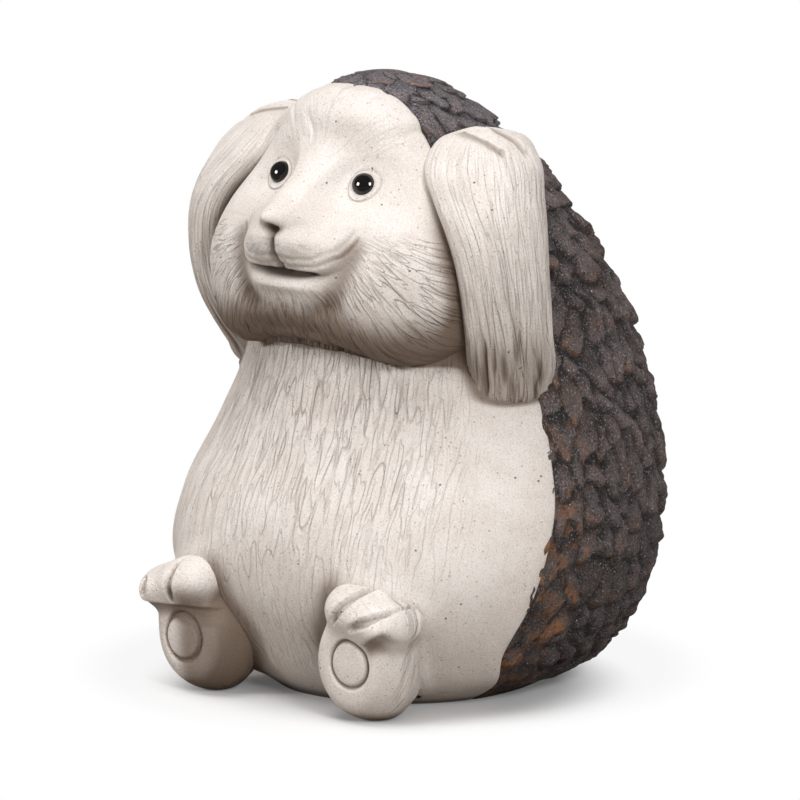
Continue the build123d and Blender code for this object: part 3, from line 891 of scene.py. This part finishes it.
# arms: rings along the arm with finger grooves on the paw and strands that deepen to tufts at the end
def makeArms():
    even = np.linspace(0, 1, arm["rows"])
    share = (0.35 * (0.5 - 0.5 * np.cos(math.pi * even)) + 0.65 * even)[:, None]
    around = np.linspace(-0.5 * math.pi, 1.5 * math.pi, arm["columns"], endpoint=False)[None]
    out, front, breadth, thick = armLevel(share)
    z = arm["top"] - arm["length"] * share
    across, along = around * 24 + 0 * share, z + 0 * around
    strokes = furStrokes(across, along, **arm["longStrokes"])
    strokes = np.maximum(strokes, 0.6 * furStrokes(across + 0.05 * z, along, **arm["shortStrokes"]))
    strokes = strokes * (0.5 + 0.5 * share)
    tufts = furStrokes(across + 0.06 * z, along, **arm["tufts"]) * ramp(0.45, 0.75, share)
    broad, deep = np.cos(around) * breadth, share * arm["length"] + 0 * around
    fingers = np.zeros_like(broad)
    for line in arm["fingerLines"]:
        fingers = np.maximum(fingers, bell(lineGap(broad, deep, line), arm["fingerWidth"]))
    fingers = fingers * ramp(-0.2, 0.2, np.sin(around))

    # each ring is an ellipse less what is carved; its front edge curls onto the temple
    carved = arm["strokeDepth"] * strokes * ramp(0.02, 0.12, share)
    carved = carved + arm["tuftDepth"] * tufts + arm["fingerDepth"] * fingers
    carved = carved * ramp(1.0, 0.97, share)
    b = np.cos(around) * (breadth - carved)
    t = np.sin(around) * (thick - carved)
    x = out + b * math.sin(arm["turn"]) + t * math.cos(arm["turn"])
    x = x - arm["templeCurl"] * bell(share - 0.13, 0.15) * ramp(0.0, 0.9, -np.cos(around))
    y = front + b * math.cos(arm["turn"]) - t * math.sin(arm["turn"])
    shaped = np.stack([x, y, z + 0 * x], -1)
    index = np.arange(arm["rows"] * arm["columns"]).reshape(arm["rows"], arm["columns"])
    faces = quads(np.concatenate([index, index[:, :1]], 1))
    caps = [index[0].tolist(), index[-1][::-1].tolist()]

    low = ramp(0.55, 0.82, share) * ramp(0.95, 0.35, np.cos(around))
    nearHead = np.maximum(headGap(x, y, z), 0)
    shade = 0.8 * bell(nearHead, 4.0) * ramp(0.1, 0.3, share) + low * (0.45 + 0.5 * tufts) + 0.5 * fingers
    fur = ramp(0.0, 0.1, share) * (0.35 + 0.6 * share) + 0 * around
    carve = np.clip(strokes + tufts + fingers, 0, 1)
    marks = dict(carve=carve, crease=np.clip(shade, 0, 1), fur=fur, flowAcross=across, flowAlong=along)
    for name, way, node in (("leftArm", 1, "left_arm"), ("rightArm", -1, "right_arm")):
        points = shaped.reshape(-1, 3) * np.array([way, 1, 1])
        addPiece(name, points, faces, caps, marks, stone, node)


# feet: the ring pressed into the sole, the clefts between the toes and the shade under them
def makeFeet():
    plain, normal, rim, faces, caps = castPiece(foot, footGap)
    x, y, z = plain[..., 0], plain[..., 1], plain[..., 2]
    sole = ramp(-108, -114, y) * ramp(50, 46, z)
    front = ramp(-92, -100, y)
    outside = ramp(66, 74, x) * ramp(-108, -98, y)
    strokes = furStrokes(y - 0.3 * z, z + 0.4 * y, **foot["strokes"]) * outside
    fur = ramp(64, 74, x) * ramp(-112, -102, y) + 0.2 * ramp(44, 56, z)
    inside = 0.75 * ramp(52, 36, x) * ramp(-117, -107, y) * ramp(66, 50, z)
    for name, own in feet.items():
        along, across = besideLine(x, z, own["lobe"])
        below = ramp(0.4, -2.4, across) * ramp(-12, -4, across) * ramp(1.4, 0.9, np.abs(along)) * front
        # painted shade on the lower toes of the right foot
        toeShade = own["toeShade"] * ramp(62, 47, z) * ramp(66, 50, x) * front
        disc = np.hypot(x - foot["discSide"], z - own["discLevel"])
        ring = bell(disc - foot["discRadius"], 1.0) * sole
        dome = np.clip(1 - (disc / foot["discRadius"]) ** 2, 0, 1) * sole
        cleft = np.zeros_like(x)
        for line in own["clefts"]:
            along, across = besideLine(x, z, line)
            lens = 1 - (across / foot["cleftHalf"]) ** 2 - along ** 2
            cleft = np.maximum(cleft, ramp(0, 0.35, lens) * front)
        rise = foot["discDome"] * dome - foot["ringDepth"] * ring - foot["strokeDepth"] * strokes
        rise = rise - foot["cleftDepth"] * cleft - foot["lobeDepth"] * below
        shade = 0.9 * ring + 0.45 * cleft + 0.7 * below + inside + toeShade + 0.7 * ramp(10, 0, z)
        marks = dict(
            carve=strokes, crease=np.clip(shade, 0, 1), fur=fur, flowAcross=y - 0.3 * z, flowAlong=z,
        )
        points, marks = withRings(plain + normal * rise[..., None], rim, marks)
        points = points * np.array([own["way"], 1, 1])
        addPiece(name, points, faces, caps, marks, stone, own["node"])


makeHead()
makeArms()
makeFeet()


# kept CAD nodes: the bead eyes, the closing plate and the dowels
bead = Paint("eyeBead")
beadLook = {"Base Color": tint(6, 5, 5), "Roughness": 0.05, "Specular IOR Level": 0.5}
beadMaterial = bead.principled(beadLook)
plateMaterial = plainPaint("rawCement", tint(150, 142, 132), tint(178, 170, 160), 0.9)
steelMaterial = plainPaint("dowelSteel", tint(150, 150, 152), tint(178, 178, 180), 0.35, 1.0)
kept = dict(
    left_eye=(beadMaterial, "eye_bead"), right_eye=(beadMaterial, "eye_bead"),
    base_plate=(plateMaterial, "base_plate"),
    arm_dowels=(steelMaterial, "dowel"), foot_dowels=(steelMaterial, "dowel"),
    head_dowels=(steelMaterial, "dowel"), seam_dowels=(steelMaterial, "dowel"),
)
for node, (material, slot) in kept.items():
    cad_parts[node].data.materials.clear()
    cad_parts[node].data.materials.append(material)
print("kept nodes painted")


# stage, in metres: a white floor that keeps the soft shadow near the object, deepened there by a painted
# shadow, and is plain white further out
stage = dict(
    half=4, shadowMiddle=(0, -0.03, 0), whiteMiddle=(-0.02, 0, 0),
    lightens=(0.07, 0.125), fades=(0.085, 0.132), whitens=(0.132, 0.168), least=0.08,
    # near: the floor's colour seen close to the object, a painted shadow
    near=(0.72, 0.72, 0.73, 1), away=(0.96, 0.96, 0.96, 1), bounce=(0.30, 0.27, 0.24, 1),
    pale=(0.93, 0.93, 0.93, 1), white=(1, 1, 1, 1), surround=(0.275, 0.263, 0.253, 1),
)


# lit close to the object, where a painted shadow darkens what the camera sees; its own white further out;
# what it throws back is darker than what is seen
def floorPaint():
    paint = Paint("floorWhite")
    apart = paint.apart(stage["shadowMiddle"])
    seen = paint.seen()
    # painted shadow: the floor seen darker close to the object
    shownWithPaintedShadow = paint.mix(apart.ease(*stage["lightens"]), stage["near"], stage["away"])
    lit = paint.node("ShaderNodeBsdfDiffuse", {}, {"Color": paint.mix(seen, stage["bounce"], shownWithPaintedShadow)})
    further = paint.apart(stage["whiteMiddle"])
    glow = paint.mix(further.ease(*stage["whitens"]), stage["pale"], stage["white"])
    white = paint.node("ShaderNodeEmission", {}, {"Color": glow, "Strength": 1.0})
    share = (stage["least"] + (1 - stage["least"]) * apart.ease(*stage["fades"])) * seen
    return paint.close(paint.node("ShaderNodeMixShader", {}, {0: share, 1: lit, 2: white}))


half = stage["half"]
corners = [(-half, -half, 0), (half, -half, 0), (half, half, 0), (-half, half, 0)]
floorMesh = bpy.data.meshes.new("floor")
floorMesh.from_pydata(corners, [], [(0, 1, 2, 3)])
floorMesh.materials.append(floorPaint())
floor = bpy.data.objects.new("floor", floorMesh)
bpy.context.scene.collection.objects.link(floor)

world = bpy.data.worlds.new("studio")
bpy.context.scene.world = world
studio = Paint("studio", world)
colour = studio.mix(studio.seen(), stage["surround"], stage["white"])
surround = studio.node("ShaderNodeBackground", {}, {"Color": colour, "Strength": 1.0})
studio.close(surround, "ShaderNodeOutputWorld")

# light: a broad lamp above, a key from the right and a fill from the left; two more show only as the
# glints on the beads
lights = dict(
    top=dict(place=(-0.1, -0.7, 2.6), size=1.6, power=38.5, glint=False),
    key=dict(place=(2.3, -1.2, 1.4), size=0.7, power=40.0, glint=False),
    side=dict(place=(-1.6, -2.6, 1.3), size=0.5, power=29.0, glint=False),
    rightGlint=dict(place=(2.29, 0.45, 0.80), size=0.9, power=105.0, glint=True),
    leftGlint=dict(place=(-0.76, -2.21, 0.80), size=0.9, power=105.0, glint=True),
)
target = Vector((0, -0.01, 0.15))
for name, setting in lights.items():
    lamp = bpy.data.lights.new(name, "AREA")
    lamp.size = setting["size"]
    lamp.energy = setting["power"]
    lampObject = bpy.data.objects.new(name, lamp)
    lampObject.location = setting["place"]
    lampObject.visible_glossy = setting["glint"]
    lampObject.visible_diffuse = not setting["glint"]
    lampObject.rotation_euler = (target - Vector(setting["place"])).to_track_quat("-Z", "Y").to_euler()
    bpy.context.scene.collection.objects.link(lampObject)

# camera: from the object's left front, a little above; the frame's origin falls on the given pixel
view = dict(
    turn=math.radians(41), lift=math.radians(12.5), apart=5.0, pixelsPerMetre=1985.0,
    picture=800, originPixel=(421.0, 671.5), sensor=36,
)
pixelsAway = view["pixelsPerMetre"] * view["apart"]
back = Vector((
    math.sin(view["turn"]) * math.cos(view["lift"]),
    -math.cos(view["turn"]) * math.cos(view["lift"]),
    math.sin(view["lift"]),
))
right = Vector((math.cos(view["turn"]), math.sin(view["turn"]), 0))
above = back.cross(right)
across = (view["picture"] / 2 - view["originPixel"][0]) / pixelsAway
up = (view["originPixel"][1] - view["picture"] / 2) / pixelsAway
lens = bpy.data.cameras.new("camera")
lens.lens = view["sensor"] * pixelsAway / view["picture"]
lens.clip_end = 50
camera = bpy.data.objects.new("camera", lens)
camera.location = back * view["apart"]
camera.rotation_euler = (right * across + above * up - back).to_track_quat("-Z", "Y").to_euler()
bpy.context.scene.collection.objects.link(camera)
bpy.context.scene.camera = camera
bpy.context.scene.view_settings.view_transform = "Standard"

print("stage, light and camera set")
